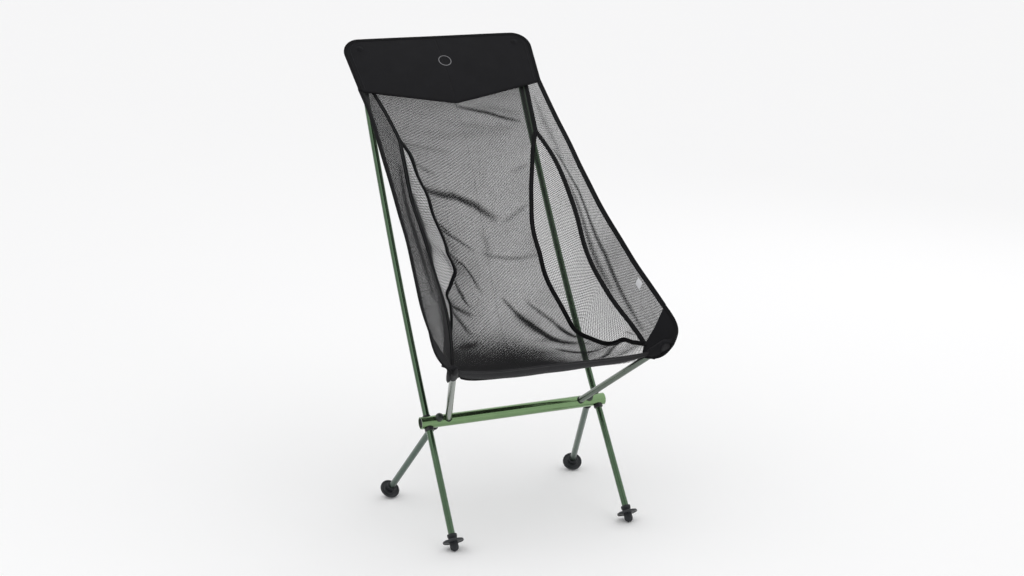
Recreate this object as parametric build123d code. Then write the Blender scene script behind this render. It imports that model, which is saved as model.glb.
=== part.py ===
from build123d import *
import os
from math import sin, cos, radians

# High-backed pole chair, millimetres. +Z is up, the chair faces -Y, +X is the sitter's left.
# The origin is on the floor, under the middle of the whole chair.
os.makedirs("parts", exist_ok=True)

# crossbar
bar_y = -91.1
bar_z = 208.0
bar_length = 390.0
bar_r = 12.0
bar_wall = 1.5
plug_depth = 5.0

# tubes
tube_r = 6.5
tube_wall = 0.9
fit_gap = 0.05

# where each pole's axis crosses the crossbar, measured from the middle of the bar
long_pole_x = 180.0
rear_leg_x = 161.5
seat_pole_x = 138.0

# long pole line: front leg below the bar, bowed back pole above it
pole_lean = 0.8
pole_angle_low = 36.0
pole_angle_top = 26.9
back_pole_length = 788.0
pole_split = 394.0
ferrule_length = 80.0
stop_half = 1.7
stop_bore_r = 4.4
tip_plug_length = 6.0
tip_plug_gap = 0.1
halves_gap = 0.2
ferrule_wall = 0.95

# directions of the straight poles, away from the bar
rear_leg_dir = Vector(0.168, 0.640, -0.750).normalized()
seat_pole_dir = Vector(0.253, -0.770, 0.584).normalized()
seat_pole_length = 300.0

# sockets through the bar
socket_r = 7.5
socket_top = 13.5
collar_r = 9.0
collar_top = 12.3
collar_end = 17.5
collar_chamfer = 1.2
rear_collar_rise = 1.6
blind_floor = 9.6
leg_seat = 9.0
hole_reach = 25.0
cap_r = 8.2
cap_height = 5.5
cap_rim = 2.0
cap_bottom = 9.2

# feet
ball_r = 8.3
ball_z = 8.0
foot_neck_r = 8.1
foot_top = 25.0
foot_bore_gap = 0.02
tube_above_ball = 5.2
disc_r = 20.0
disc_low = 9.0
disc_thick = 4.0

# fabric
mesh_thick = 1.6
tape_thick = 2.6
tape_half = 3.0
edge_half = 4.5
seam_gap = 0.4
extra_gap = 0.5
panel_gap = 1.2
top_panel_gap = 2.6
pocket_r = 7.3
pocket_wall = 1.5
pocket_depth = 50.0
panel_hang = 2.2
head_half = 1.5
label_length = 14.0
label_width = 9.0
label_thick = 0.8
label_inset = 12.0
label_place = 0.70
across_steps = (-1.0, -0.8, -0.5, 0.0, 0.5, 0.8, 1.0)
stations = 24
seam_inset = tape_half + seam_gap
edge_inset = edge_half + seam_gap


def at_bar(x, y, z):
    """A point given from the crossbar's middle in X and Y, and from the floor in Z."""
    return Vector(x, y + bar_y, z)


# pole axes on the +X side

bend = radians(pole_angle_low - pole_angle_top) / back_pole_length
long_hub = at_bar(long_pole_x, 0, bar_z)
rear_hub = at_bar(rear_leg_x, 0, bar_z)
seat_hub = at_bar(seat_pole_x, 0, bar_z)
lean_up = Vector(-sin(radians(pole_lean)), 0, cos(radians(pole_lean)))


def pole_heading(s):
    angle = radians(pole_angle_low) - bend * s
    return Vector(0, sin(angle), 0) + lean_up * cos(angle)


def pole_point(s):
    """Point on the bowed back pole, s along it from the bar: a circular arc in a leaning plane."""
    start = radians(pole_angle_low)
    back = (cos(start - bend * s) - cos(start)) / bend
    rise = (sin(start) - sin(start - bend * s)) / bend
    return long_hub + Vector(0, back, 0) + lean_up * rise


front_leg_dir = pole_heading(0) * -1
front_leg_length = (bar_z - ball_z) / -front_leg_dir.Z
rear_leg_length = (bar_z - ball_z) / -rear_leg_dir.Z


# small solid builders

def rod(start, direction, s0, s1, radius):
    """Round bar along a direction, from s0 to s1 beyond the start point."""
    base = Plane(origin=start + direction * s0, z_dir=direction)
    return extrude(base * Circle(radius), s1 - s0)


def pipe(start, direction, s0, s1, outer, inner):
    return rod(start, direction, s0, s1, outer) - rod(start, direction, s0 - 1, s1 + 1, inner)


def turned(start, direction, outline):
    """Solid of revolution about a line: outline is a closed list of (radius, distance) points."""
    face = make_face(Polyline(*[(r, 0, s) for r, s in outline], close=True))
    plane = Plane(origin=start, z_dir=direction)
    return plane.location * revolve(face, Axis.Z)


def bowed_rod(s0, s1, radius):
    """Round bar along the back pole's arc."""
    arc = ThreePointArc(pole_point(s0), pole_point((s0 + s1) / 2), pole_point(s1))
    section = Plane(origin=pole_point(s0), z_dir=pole_heading(s0)) * Circle(radius)
    return sweep(section, path=arc)


def bowed_pipe(s0, s1, outer, inner):
    return bowed_rod(s0, s1, outer) - bowed_rod(s0 - 1, s1 + 1, inner)


def dome_cap(start, direction, s_tube, s_end, radius, insert_r):
    """Plug in a tube's mouth with a domed head of the tube's own radius or more."""
    head = s_end - s_tube
    outline = [(0, s_tube - 9), (insert_r, s_tube - 9), (insert_r, s_tube), (radius, s_tube)]
    outline += [(radius * cos(radians(a)), s_tube + head * 0.35 + head * 0.65 * sin(radians(a)))
                for a in (0, 25, 50, 70)]
    outline += [(0, s_end)]
    return turned(start, direction, outline)


# the hard parts of the +X side

def crossbar():
    body = Plane.YZ.offset(-bar_length / 2) * Circle(bar_r)
    bore = Plane.YZ.offset(-bar_length / 2 - 1) * Circle(bar_r - bar_wall)
    tube = extrude(body, bar_length) - extrude(bore, bar_length + 2)
    tube = Pos(0, bar_y, bar_z) * tube
    pole_axes = ((long_hub, front_leg_dir), (rear_hub, rear_leg_dir), (seat_hub, seat_pole_dir))
    for hub, direction in pole_axes:
        hole = rod(hub, direction, -hole_reach, hole_reach, socket_r + fit_gap)
        tube = tube - hole - mirror(hole, about=Plane.YZ)
    return tube


def crossbar_plug():
    inside = bar_r - bar_wall - fit_gap
    start = at_bar(bar_length / 2 - plug_depth, 0, bar_z)
    rim = [(0, 0), (inside, 0), (inside, 3.2), (inside - 1.5, 3.2), (inside - 2.5, 1.6), (0, 1.6)]
    return turned(start, Vector(1, 0, 0), rim)


def long_pole_socket():
    """Through sleeve for the front leg below and the back pole above, with a ring between them."""
    bore = tube_r + fit_gap
    outline = [(bore, -socket_top), (socket_r, -socket_top), (socket_r, collar_top),
               (collar_r, collar_top), (collar_r, collar_end - collar_chamfer),
               (collar_r - collar_chamfer, collar_end), (bore, collar_end), (bore, stop_half),
               (stop_bore_r, stop_half), (stop_bore_r, -stop_half), (bore, -stop_half)]
    return turned(long_hub, front_leg_dir, outline)


def rear_leg_socket():
    bore = tube_r + fit_gap
    low = collar_top + rear_collar_rise
    end = collar_end + collar_chamfer
    outline = [(bore, -socket_top), (socket_r, -socket_top), (socket_r, low), (collar_r, low),
               (collar_r, collar_end), (collar_r - collar_chamfer, end), (bore, end)]
    return turned(rear_hub, rear_leg_dir, outline)


def rear_socket_cap():
    """Domed cap over the rear leg's socket, on top of the bar."""
    low = socket_top + 0.1
    stem_r = tube_r - 0.1
    dome = low + cap_rim
    outline = [(0, cap_bottom), (stem_r, cap_bottom), (stem_r, low), (cap_r, low), (cap_r, dome)]
    outline += [(cap_r * cos(radians(a)), dome + cap_height * sin(radians(a))) for a in (25, 50, 72)]
    outline += [(0, dome + cap_height)]
    return turned(rear_hub, rear_leg_dir * -1, outline)


def seat_pole_socket():
    """Blind sleeve for the front seat pole, closed at the bottom under the bar."""
    bore = tube_r + fit_gap
    mouth = 12.6
    bottom = -14.2
    outline = [(0, bottom), (5.0, bottom), (socket_r, bottom + 2.0), (socket_r, mouth), (bore, mouth),
               (bore, -blind_floor), (0, -blind_floor)]
    return turned(seat_hub, seat_pole_dir, outline)


def foot(hub, direction, length):
    """Rubber ball with a neck round the tube's end, worn to a small flat on the floor."""
    ball = hub + direction * length
    up = direction * -1
    body = Pos(ball.X, ball.Y, ball.Z) * Sphere(ball_r)
    neck = turned(ball, up, [(0, 0), (foot_neck_r, 0), (foot_neck_r, 16), (9.4, 20), (9.4, foot_top - 1),
                             (8.4, foot_top), (0, foot_top)])
    body = body + neck - rod(ball, up, 5, foot_top + 1, tube_r + foot_bore_gap)
    return body - Pos(ball.X, ball.Y, -20) * Box(60, 60, 40)


def foot_disc(hub, direction, length):
    """Flange ring that stops the foot sinking into soft ground: hub, web and raised rim."""
    inner = foot_neck_r + fit_gap
    low = disc_low
    high = disc_low + disc_thick
    outline = [(inner, low), (13.0, low + 0.4), (16.5, low + 1.0), (disc_r - 0.6, low), (disc_r, low + 0.8),
               (disc_r, high - 0.8), (disc_r - 0.8, high), (disc_r - 2.2, high),
               (disc_r - 3.0, low + 2.6), (13.5, low + 2.4), (12.0, high), (inner, high)]
    return turned(hub + direction * length, direction * -1, outline)


# the fabric

# Sewing lines of the +X half, from the headrest to the front corner.
side_edge = Spline(at_bar(195, 322, 802), at_bar(196, 225, 732), at_bar(202, 127, 653), at_bar(211, 12, 564),
                   at_bar(222, -66, 506), at_bar(232, -130, 463), at_bar(236, -176, 436))
outer_seam = Spline(at_bar(165, 316, 789), at_bar(147, 232, 718), at_bar(159, 168, 673),
                    at_bar(164, 100, 605), at_bar(162, 20, 519), at_bar(164, -48, 464),
                    at_bar(173, -104, 425), at_bar(193, -168, 373))
inner_seam = Spline(at_bar(147, 232, 718), at_bar(125, 197, 655), at_bar(104, 152, 568), at_bar(94, 92, 494),
                    at_bar(108, 58, 428), at_bar(131, 6, 362), at_bar(166, -62, 343), at_bar(190, -170, 363))
top_seam = Line(at_bar(166, 326, 798), at_bar(147, 232, 718))
centre_line = Spline(at_bar(0, 252, 712), at_bar(0, 211, 648), at_bar(0, 160, 545), at_bar(0, 125, 470),
                     at_bar(0, 84, 392), at_bar(0, 34, 324), at_bar(0, -60, 307), at_bar(0, -143, 326))
centre_top = Line(at_bar(0, 303, 772), at_bar(0, 252, 712))
hem_front = Spline(at_bar(0, -172, 350), at_bar(100, -174, 351), at_bar(160, -184, 356),
                   at_bar(191, -201, 364))
hem_rear = Spline(at_bar(0, -147, 328), at_bar(100, -150, 330), at_bar(160, -163, 336),
                  at_bar(186, -180, 350))


def band(section_list):
    """Closed solid through thin polygon sections, each a list of points in the same order."""
    wires = [Wire.make_polygon(points, close=True) for points in section_list]
    return Solid.make_loft(wires, True)


def strip(line_a, line_b, inset_a, inset_b, from_a, from_b, to):
    """Thin panel between two sewing lines, pulled in from each line by its inset, square to the line."""
    sections = []
    for i in range(stations + 1):
        ua = from_a + (to - from_a) * i / stations
        ub = from_b + (to - from_b) * i / stations
        a, b = line_a @ ua, line_b @ ub
        across = (b - a).normalized()
        out = across.cross(((line_a % ua) + (line_b % ub)).normalized()).normalized()
        slant_a = across.cross(line_a % ua).length
        slant_b = across.cross(line_b % ub).length
        a = a + across * (inset_a / slant_a)
        b = b - across * (inset_b / slant_b)
        half = out * (mesh_thick / 2)
        sections.append([a + half, b + half, b - half, a - half])
    return band(sections)


def tape(line, half_width, beside, start, end):
    """Flat tape along a sewing line, lying in the plane of the panel that runs to the line beside it."""
    sections = []
    for i in range(stations + 1):
        u = start + (end - start) * i / stations
        along = line % u
        facing = along.cross((beside @ u) - (line @ u))
        across = along.cross(facing).normalized() * half_width
        half = across.cross(along).normalized() * (tape_thick / 2)
        p = line @ u
        sections.append([p + across + half, p - across + half, p - across - half, p + across - half])
    return band(sections)


def hammock_row(centre, seam, u, gap):
    """Points across the middle panel at one place: it hangs as a smooth curve between its two seams."""
    low, high = centre @ u, seam @ u
    rise = Vector(0, high.Y, high.Z) - low
    half_width = high.X - seam_inset - gap
    return [low + rise * abs(f) ** panel_hang + Vector(f * half_width, 0, 0) for f in across_steps]


def skin(rows):
    """Closed solid of even thickness round a grid of points."""
    count, width = len(rows), len(rows[0])
    over, under = [], []
    for i, row in enumerate(rows):
        along = [b - a for a, b in zip(rows[max(i - 1, 0)], rows[min(i + 1, count - 1)])]
        half = []
        for j in range(width):
            side = row[min(j + 1, width - 1)] - row[max(j - 1, 0)]
            half.append(side.cross(along[j]).normalized() * (mesh_thick / 2))
        over.append([p + h for p, h in zip(row, half)])
        under.append([p - h for p, h in zip(row, half)])
    corners = []
    for i in range(count - 1):
        for j in range(width - 1):
            corners.append((over[i][j], over[i][j + 1], over[i + 1][j + 1], over[i + 1][j]))
            corners.append((under[i][j], under[i + 1][j], under[i + 1][j + 1], under[i][j + 1]))
        for j in (0, width - 1):
            corners.append((over[i][j], over[i + 1][j], under[i + 1][j], under[i][j]))
    for i in (0, count - 1):
        for j in range(width - 1):
            corners.append((over[i][j], over[i][j + 1], under[i][j + 1], under[i][j]))
    faces = []
    for a, b, c, d in corners:
        faces.append(Face(Wire.make_polygon([a, b, c], close=True)))
        faces.append(Face(Wire.make_polygon([a, c, d], close=True)))
    return Solid(Shell(faces))


def back_panel():
    """Mesh between the inner seams, from the headrest to the front hem."""
    upper = [hammock_row(centre_top, top_seam, u, top_panel_gap) for u in (0.02, 0.5)]
    upper.append(hammock_row(centre_line, inner_seam, 0, top_panel_gap))
    lower = [hammock_row(centre_line, inner_seam, i / 16, panel_gap) for i in range(1, 17)]
    return skin(upper + lower)


def front_hem():
    sections = []
    for side, steps in ((-1, range(6, 0, -1)), (1, range(0, 7))):
        for i in steps:
            u = i / 6
            a, b = hem_front @ u, hem_rear @ u
            down = (b - a).normalized()
            b = b - down * seam_gap
            along = (hem_front % u).normalized()
            half = along.cross(down).normalized() * (tape_thick / 2)
            points = [a + half, b + half, b - half, a - half]
            sections.append([Vector(side * p.X, p.Y, p.Z) for p in points])
    return band(sections)


def front_pocket():
    """Corner boot on the seat pole's tip, with the sewn patch that joins it to the side panel."""
    mouth = seat_pole_length - pocket_depth
    close = seat_pole_length + 2.0
    outer = pocket_r + pocket_wall
    profile = [(0, mouth), (outer, mouth), (outer + 1.2, mouth + 18), (outer + 0.4, close),
               (outer - 1.6, close + 2.2), (0, close + 2.4)]
    boot = turned(seat_hub, seat_pole_dir, profile)
    top = at_bar(237, -183, 434)
    sheet = Plane(origin=seat_hub, x_dir=seat_pole_dir, z_dir=seat_pole_dir.cross(top - seat_hub))
    flat = [sheet.to_local_coords(p) for p in (at_bar(240, -208, 417), top, at_bar(197, -178, 371))]
    beside = pocket_r + 1.2
    corners = [(mouth + 8, beside), (seat_pole_length - 2, beside)] + [(p.X, p.Y) for p in flat]
    outline = make_face(Polyline(*corners, close=True))
    patch = extrude(sheet * outline, tape_thick / 2, both=True)
    cavity = rod(seat_hub, seat_pole_dir, mouth - 1, close, pocket_r)
    return boot + patch - cavity


headrest_low = at_bar(0, 321.0, 803.0)
headrest_plane = Plane(origin=headrest_low, x_dir=(1, 0, 0), z_dir=(0, -sin(radians(45)), cos(radians(45))))
headrest_height = 134.0
corner_x = 138.0
corner_y = 72.0


def headrest():
    """Doubled panel across the back poles: shallow V below, square notches where the corners go."""
    outline = Polyline((-195, 0), (0, -38), (195, 0), (203, corner_y - 1), (corner_x - 1, corner_y - 1),
                       (corner_x - 1, headrest_height), (1 - corner_x, headrest_height),
                       (1 - corner_x, corner_y - 1), (-203, corner_y - 1), close=True)
    return extrude(headrest_plane * make_face(outline), head_half, both=True)


def top_pocket():
    """Rounded top corner of the headrest with the pouch that hangs on the back pole's tip."""
    half = make_face(Polyline((corner_x, corner_y), (204, corner_y), (207, 100), (202, 118), (190, 129),
                              (174, headrest_height), (corner_x, headrest_height), close=True))
    flap = extrude(headrest_plane * half, head_half, both=True)
    tip = pole_point(back_pole_length)
    heading = pole_heading(back_pole_length)
    outer = pocket_r + pocket_wall
    pouch = rod(tip, heading, -pocket_depth, 4, outer)
    cavity = rod(tip, heading, -pocket_depth - 40, 2, pocket_r)
    return flap + pouch - cavity


def label_tag():
    """Small blank tag beside the edge binding, clear of the wing's net."""
    point = side_edge @ label_place
    along = side_edge % label_place
    inward = (outer_seam @ label_place - point).normalized()
    face = Plane(origin=point + inward * label_inset, x_dir=along, z_dir=along.cross(inward))
    return extrude(face.offset(-3.0) * RectangleRounded(label_length, label_width, 1), label_thick)


# write every node

def write(name, solid):
    export_step(solid.clean(), f"parts/{name}.step")


def write_pair(name, solid):
    write(name + "_left", solid)
    write(name + "_right", mirror(solid, about=Plane.YZ))


write("crossbar", crossbar())
write_pair("crossbar_plug", crossbar_plug())
write_pair("long_pole_socket", long_pole_socket())
write_pair("rear_leg_socket", rear_leg_socket())
write_pair("rear_socket_cap", rear_socket_cap())
write_pair("seat_pole_socket", seat_pole_socket())

tube_bore = tube_r - tube_wall
tube_start = stop_half + 0.1
back_tube_end = back_pole_length - tip_plug_length
write_pair("back_pole_lower", bowed_pipe(tube_start, pole_split, tube_r, tube_bore))
write_pair("back_pole_upper", bowed_pipe(pole_split + halves_gap, back_tube_end, tube_r, tube_bore))
half_ferrule = ferrule_length / 2
ferrule_r = tube_bore - fit_gap
write_pair("back_pole_ferrule", bowed_pipe(pole_split - half_ferrule, pole_split + half_ferrule,
                                           ferrule_r, ferrule_r - ferrule_wall))
plug_r = tube_bore - 0.15
tip_heading = pole_heading(back_pole_length)
tip_base = pole_point(back_pole_length) - tip_heading * back_pole_length
write_pair("back_pole_tip", dome_cap(tip_base, tip_heading, back_tube_end + tip_plug_gap,
                                     back_pole_length, tube_r, plug_r))

seat_tube_end = seat_pole_length - tip_plug_length
write_pair("seat_pole", pipe(seat_hub, seat_pole_dir, -blind_floor + 0.2, seat_tube_end, tube_r, tube_bore))
write_pair("seat_pole_tip", dome_cap(seat_hub, seat_pole_dir, seat_tube_end + tip_plug_gap,
                                     seat_pole_length, tube_r, plug_r))

for name, hub, direction, length, top in (
        ("front", long_hub, front_leg_dir, front_leg_length, tube_start),
        ("rear", rear_hub, rear_leg_dir, rear_leg_length, -leg_seat)):
    write_pair(name + "_leg", pipe(hub, direction, top, length - tube_above_ball, tube_r, tube_bore))
    write_pair(name + "_foot", foot(hub, direction, length))
    write_pair(name + "_foot_disc", foot_disc(hub, direction, length))

write("headrest", headrest())
write("back_mesh", back_panel())
write("front_hem", front_hem())
write_pair("side_wing", strip(side_edge, outer_seam, edge_inset, seam_inset, 0.03, 0.03, 0.99))
write_pair("side_gusset", strip(outer_seam, inner_seam, seam_inset + extra_gap, seam_inset + extra_gap,
                                0.27, 0.10, 0.95))
write_pair("edge_binding", tape(side_edge, edge_half, outer_seam, 0.03, 0.99))
write_pair("outer_seam_tape", tape(outer_seam, tape_half, side_edge, 0.03, 0.99))
write_pair("inner_seam_tape", tape(inner_seam, tape_half, outer_seam, 0.04, 0.95))
write_pair("front_pocket", front_pocket())
write_pair("top_pocket", top_pocket())
write("label_tag", label_tag())
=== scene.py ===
import math

import bpy
import numpy as np
from mathutils import Matrix, Vector


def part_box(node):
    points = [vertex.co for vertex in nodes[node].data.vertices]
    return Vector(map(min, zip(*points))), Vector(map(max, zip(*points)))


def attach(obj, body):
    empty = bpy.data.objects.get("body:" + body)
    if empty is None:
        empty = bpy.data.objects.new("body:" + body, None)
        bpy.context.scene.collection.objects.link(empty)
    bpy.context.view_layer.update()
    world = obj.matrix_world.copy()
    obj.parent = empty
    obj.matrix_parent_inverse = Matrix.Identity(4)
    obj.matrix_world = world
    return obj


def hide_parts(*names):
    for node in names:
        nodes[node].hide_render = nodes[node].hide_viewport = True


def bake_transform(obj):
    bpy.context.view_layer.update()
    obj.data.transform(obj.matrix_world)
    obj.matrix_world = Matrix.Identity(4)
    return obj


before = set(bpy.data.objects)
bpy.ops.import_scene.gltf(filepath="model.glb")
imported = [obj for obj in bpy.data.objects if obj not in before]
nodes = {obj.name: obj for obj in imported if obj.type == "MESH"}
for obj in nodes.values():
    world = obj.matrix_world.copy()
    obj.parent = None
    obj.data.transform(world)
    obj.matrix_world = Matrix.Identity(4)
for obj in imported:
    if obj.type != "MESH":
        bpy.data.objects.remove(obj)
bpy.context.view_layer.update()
print("frame loaded")

barLow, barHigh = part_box("crossbar")
barY = (barLow.y + barHigh.y) / 2          # every sewing point below is measured from the bar's axis
sides = {"left": 1, "right": -1}           # the sitter's left is towards +X


# lines and surfaces

def place(points):
    # millimetres ahead of or behind the bar's axis, heights from the floor, to metres in the shared frame
    return np.asarray(points, float) / 1000 + np.array([0, barY, 0])


def flip(points, side):
    # the other side is the same points with X turned over
    return points * np.array([side, 1.0, 1.0])


def unit(v):
    # each vector divided by its own length
    return v / np.maximum(np.linalg.norm(v, axis=-1, keepdims=True), 1e-12)


def evenly(line, count):
    # the same line cut into steps of equal length
    run = np.concatenate([[0], np.cumsum(np.linalg.norm(np.diff(line, axis=0), axis=1))])
    at = np.linspace(0, run[-1], count)
    return np.stack([np.interp(at, run, line[:, k]) for k in range(3)], axis=1)


def smoothLine(points, count):
    # a natural cubic through the points: second differences solved at once, then cut evenly
    p = np.asarray(points, float)
    t = np.concatenate([[0], np.cumsum(np.linalg.norm(np.diff(p, axis=0), axis=1))])
    h = np.diff(t)
    n = len(p)
    slope = np.diff(p, axis=0) / h[:, None]
    a = np.eye(n)
    b = np.zeros((n, 3))
    i = np.arange(1, n - 1)
    a[i, i - 1] = h[:-1]
    a[i, i] = 2 * (h[:-1] + h[1:])
    a[i, i + 1] = h[1:]
    b[1:-1] = 6 * np.diff(slope, axis=0)
    m = np.linalg.solve(a, b)
    fine = np.linspace(0, t[-1], 40 * n)
    k = np.clip(np.searchsorted(t, fine, side="right") - 1, 0, n - 2)
    x = (fine - t[k])[:, None]
    step = h[k][:, None]
    y = p[k] + x * (slope[k] - step * (2 * m[k] + m[k + 1]) / 6) + x**2 * m[k] / 2
    return evenly(y + x**3 * (m[k + 1] - m[k]) / (6 * step), count)


def gridNormals(grid):
    # the cross product of the two ways along the grid, made unit length
    return unit(np.cross(np.gradient(grid, axis=0), np.gradient(grid, axis=1)))


def clothUv(grid):
    # both ways measured along the cloth in metres, so a weave keeps its size
    across = np.linalg.norm(np.diff(grid, axis=1), axis=2)
    along = np.linalg.norm(np.diff(grid, axis=0), axis=2)
    u = np.concatenate([np.zeros((len(grid), 1)), np.cumsum(across, axis=1)], axis=1)
    v = np.concatenate([[0], np.cumsum(along.mean(axis=1))])
    return np.stack([u, np.repeat(v[:, None], grid.shape[1], axis=1)], axis=2)


def makeSurface(name, grid, material, uv=None, closed=False, caps=False, gather=None, turned=False,
                loop=False):
    # quads between neighbouring rows and columns of a grid of points; a tube is closed round its columns,
    # a loop is closed end to end
    rows, cols = grid.shape[:2]
    r = np.arange(rows if loop else rows - 1)[:, None]
    r2 = (r + 1) % rows
    c = np.arange(cols if closed else cols - 1)[None, :]
    c2 = (c + 1) % cols
    quads = np.stack([r * cols + c, r * cols + c2, r2 * cols + c2, r2 * cols + c], axis=2)
    faces = quads.reshape(-1, 4)
    if turned:
        faces = faces[:, ::-1]
    faces = faces.tolist()
    if caps:
        first = list(range(cols))
        last = list(range((rows - 1) * cols, rows * cols))
        faces += [first, last[::-1]] if turned else [first[::-1], last]
    mesh = bpy.data.meshes.new(name)
    mesh.from_pydata(grid.reshape(-1, 3).tolist(), [], faces)
    mesh.polygons.foreach_set("use_smooth", np.ones(len(mesh.polygons), bool))
    if uv is not None:
        index = np.empty(len(mesh.loops), np.int32)
        mesh.loops.foreach_get("vertex_index", index)
        layer = mesh.uv_layers.new(name="cloth")
        layer.data.foreach_set("uv", uv.reshape(-1, 2)[index].ravel().astype(np.float32))
    # a value per point that closes the net's holes: partly denser gathered cloth, partly painted shade in
    # folds, towards the hem and on one side's panels
    if gather is not None:
        mark = mesh.attributes.new("gather", "FLOAT", "POINT")
        mark.data.foreach_set("value", gather.ravel().astype(np.float32))
    mesh.materials.append(material)
    mesh.update()
    piece = bpy.data.objects.new(name, mesh)
    bpy.context.scene.collection.objects.link(piece)
    return piece


def thicken(piece, depth, offset=0.0):
    # a wall of that depth, shared by both faces unless offset moves it
    wall = piece.modifiers.new("wall", "SOLIDIFY")
    wall.thickness = depth
    wall.offset = offset
    wall.use_quality_normals = True
    return piece


def tapeGrid(path, sideways, width, thick, around=14, squareness=0.55):
    # a flattened oval carried along a path, its wide way kept along "sideways"
    along = unit(np.gradient(path, axis=0))
    wide = unit(sideways - along * np.sum(sideways * along, axis=1, keepdims=True))
    out = np.cross(along, wide)
    angle = np.linspace(0, 2 * np.pi, around, endpoint=False)
    c = np.sign(np.cos(angle)) * np.abs(np.cos(angle)) ** squareness * width / 2
    s = np.sign(np.sin(angle)) * np.abs(np.sin(angle)) ** squareness * thick / 2
    grid = path[:, None] + wide[:, None] * c[None, :, None] + out[:, None] * s[None, :, None]
    run = np.concatenate([[0], np.cumsum(np.linalg.norm(np.diff(path, axis=0), axis=1))])
    uv = np.stack(np.broadcast_arrays(run[:, None], c[None, :]), axis=2)
    return grid, uv


def tucked(grid, before, after):
    # one more row at each end, carried straight on under the neighbouring cloth
    first = grid[0] + unit(grid[0] - grid[3]) * before
    last = grid[-1] + unit(grid[-1] - grid[-4]) * after
    return np.concatenate([first[None], grid, last[None]])


stitch = {"pitch": 3.4, "length": 2.5, "thick": 0.55}


def stitchRow(name, line, sideways, across, out, sideName, pull):
    # short flat-ended stitches set end to end along a line: one eight-cornered box each, in one mesh
    length = np.linalg.norm(np.diff(line, axis=0), axis=1).sum()
    path = evenly(line, int(length / stitch["pitch"]) + 1)
    wide = np.stack([np.interp(np.linspace(0, 1, len(path)), np.linspace(0, 1, len(sideways)), sideways[:, k])
                     for k in range(3)], axis=1)
    along = unit(np.gradient(path, axis=0))
    wide = unit(wide - along * np.sum(wide * along, axis=1, keepdims=True))
    up = np.cross(along, wide)
    box = np.array([(a, b, c) for a in (-1, 1) for b in (-1, 1) for c in (-1, 1)]) / 2
    axes = np.stack([along * stitch["length"], wide * stitch["thick"], up * stitch["thick"]], axis=1)
    middle = path + wide * across + up * out
    points = middle[:, None] + np.einsum("kc,ncd->nkd", box, axes)
    sidesOfBox = np.array([(0, 1, 3, 2), (4, 6, 7, 5), (0, 4, 5, 1), (2, 3, 7, 6), (0, 2, 6, 4),
                           (1, 5, 7, 3)])
    faces = (sidesOfBox[None] + 8 * np.arange(len(path))[:, None, None]).reshape(-1, 4)
    side = sides[sideName]
    mesh = bpy.data.meshes.new(name)
    mesh.from_pydata(flip(place(points.reshape(-1, 3)), side).tolist(), [],
                     (faces if side > 0 else faces[:, ::-1]).tolist())
    layer = mesh.uv_layers.new(name="cloth")
    index = np.empty(len(mesh.loops), np.int32)
    mesh.loops.foreach_get("vertex_index", index)
    run = np.repeat(np.arange(len(path)) * stitch["pitch"], 8) / 1000
    spread = np.tile(box[:, 0] + box[:, 1], len(path)) * stitch["length"] / 1000
    layer.data.foreach_set("uv", np.stack([run[index], spread[index]], axis=1).ravel().astype(np.float32))
    mesh.materials.append(finish["threadCloth"])
    row = bpy.data.objects.new(name, mesh)
    bpy.context.scene.collection.objects.link(row)
    pull(row, sideName)


def foldField(across, down, folds):
    # each fold is a bent line on the cloth: a bell-shaped section that fades in and out along the line;
    # its shade value closes the net's holes along the crease, painted shade partly standing for doubled cloth
    lift = np.zeros(np.broadcast(across, down).shape)
    densityAndShade = np.zeros_like(lift)
    for points, width, height, shade in folds:
        p = np.array(points, float)
        size = np.linalg.norm(np.diff(p, axis=0), axis=1)
        start = np.concatenate([[0], np.cumsum(size)]) / size.sum()
        nearest = np.full(lift.shape, np.inf)
        progress = np.zeros(lift.shape)
        for k in range(len(p) - 1):
            step = p[k + 1] - p[k]
            t = np.clip(((across - p[k, 0]) * step[0] + (down - p[k, 1]) * step[1]) / (step @ step), 0, 1)
            gap = np.hypot(across - p[k, 0] - t * step[0], down - p[k, 1] - t * step[1])
            closer = gap < nearest
            nearest = np.where(closer, gap, nearest)
            progress = np.where(closer, start[k] + t * (start[k + 1] - start[k]), progress)
        fade = np.sqrt(np.clip(np.sin(np.pi * np.clip(progress * 0.94 + 0.03, 0, 1)), 0, 1))
        bell = np.exp(-(nearest / width) ** 2) * fade
        lift += height * bell
        densityAndShade += shade * bell
    return lift, densityAndShade


def scaledFolds(folds, size):
    # every point's two shares times the cloth's width and length in metres
    return [([(a * size[0], b * size[1]) for a, b in points], w, h, d) for points, w, h, d in folds]


# materials

def blank(name):
    # a new material with its node tree and its shader
    material = bpy.data.materials.new(name)
    material.use_nodes = True
    tree = material.node_tree
    shader = tree.nodes["Principled BSDF"]
    return material, tree, shader


def add(tree, kind, sockets=None, **settings):
    # one shader node: each socket gets a link or a constant
    made = tree.nodes.new(kind)
    for key, value in settings.items():
        setattr(made, key, value)
    for key, value in (sockets or {}).items():
        if isinstance(value, bpy.types.NodeSocket):
            tree.links.new(value, made.inputs[key])
        else:
            made.inputs[key].default_value = value
    return made


def sums(tree, operation, a, b=None, c=None):
    # one arithmetic node on links or constants
    made = tree.nodes.new("ShaderNodeMath")
    made.operation = operation
    for k, value in enumerate((a, b, c)):
        if isinstance(value, bpy.types.NodeSocket):
            tree.links.new(value, made.inputs[k])
        elif value is not None:
            made.inputs[k].default_value = value
    return made.outputs[0]


def noise(tree, where, scale, detail, roughness=0.5):
    # one noise texture's grey at that place
    return add(tree, "ShaderNodeTexNoise", {"Vector": where, "Scale": scale, "Detail": detail,
                                            "Roughness": roughness}).outputs["Fac"]


def fill(shader, values):
    # constants set straight on the shader's sockets
    for key, value in values.items():
        shader.inputs[key].default_value = value


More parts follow.
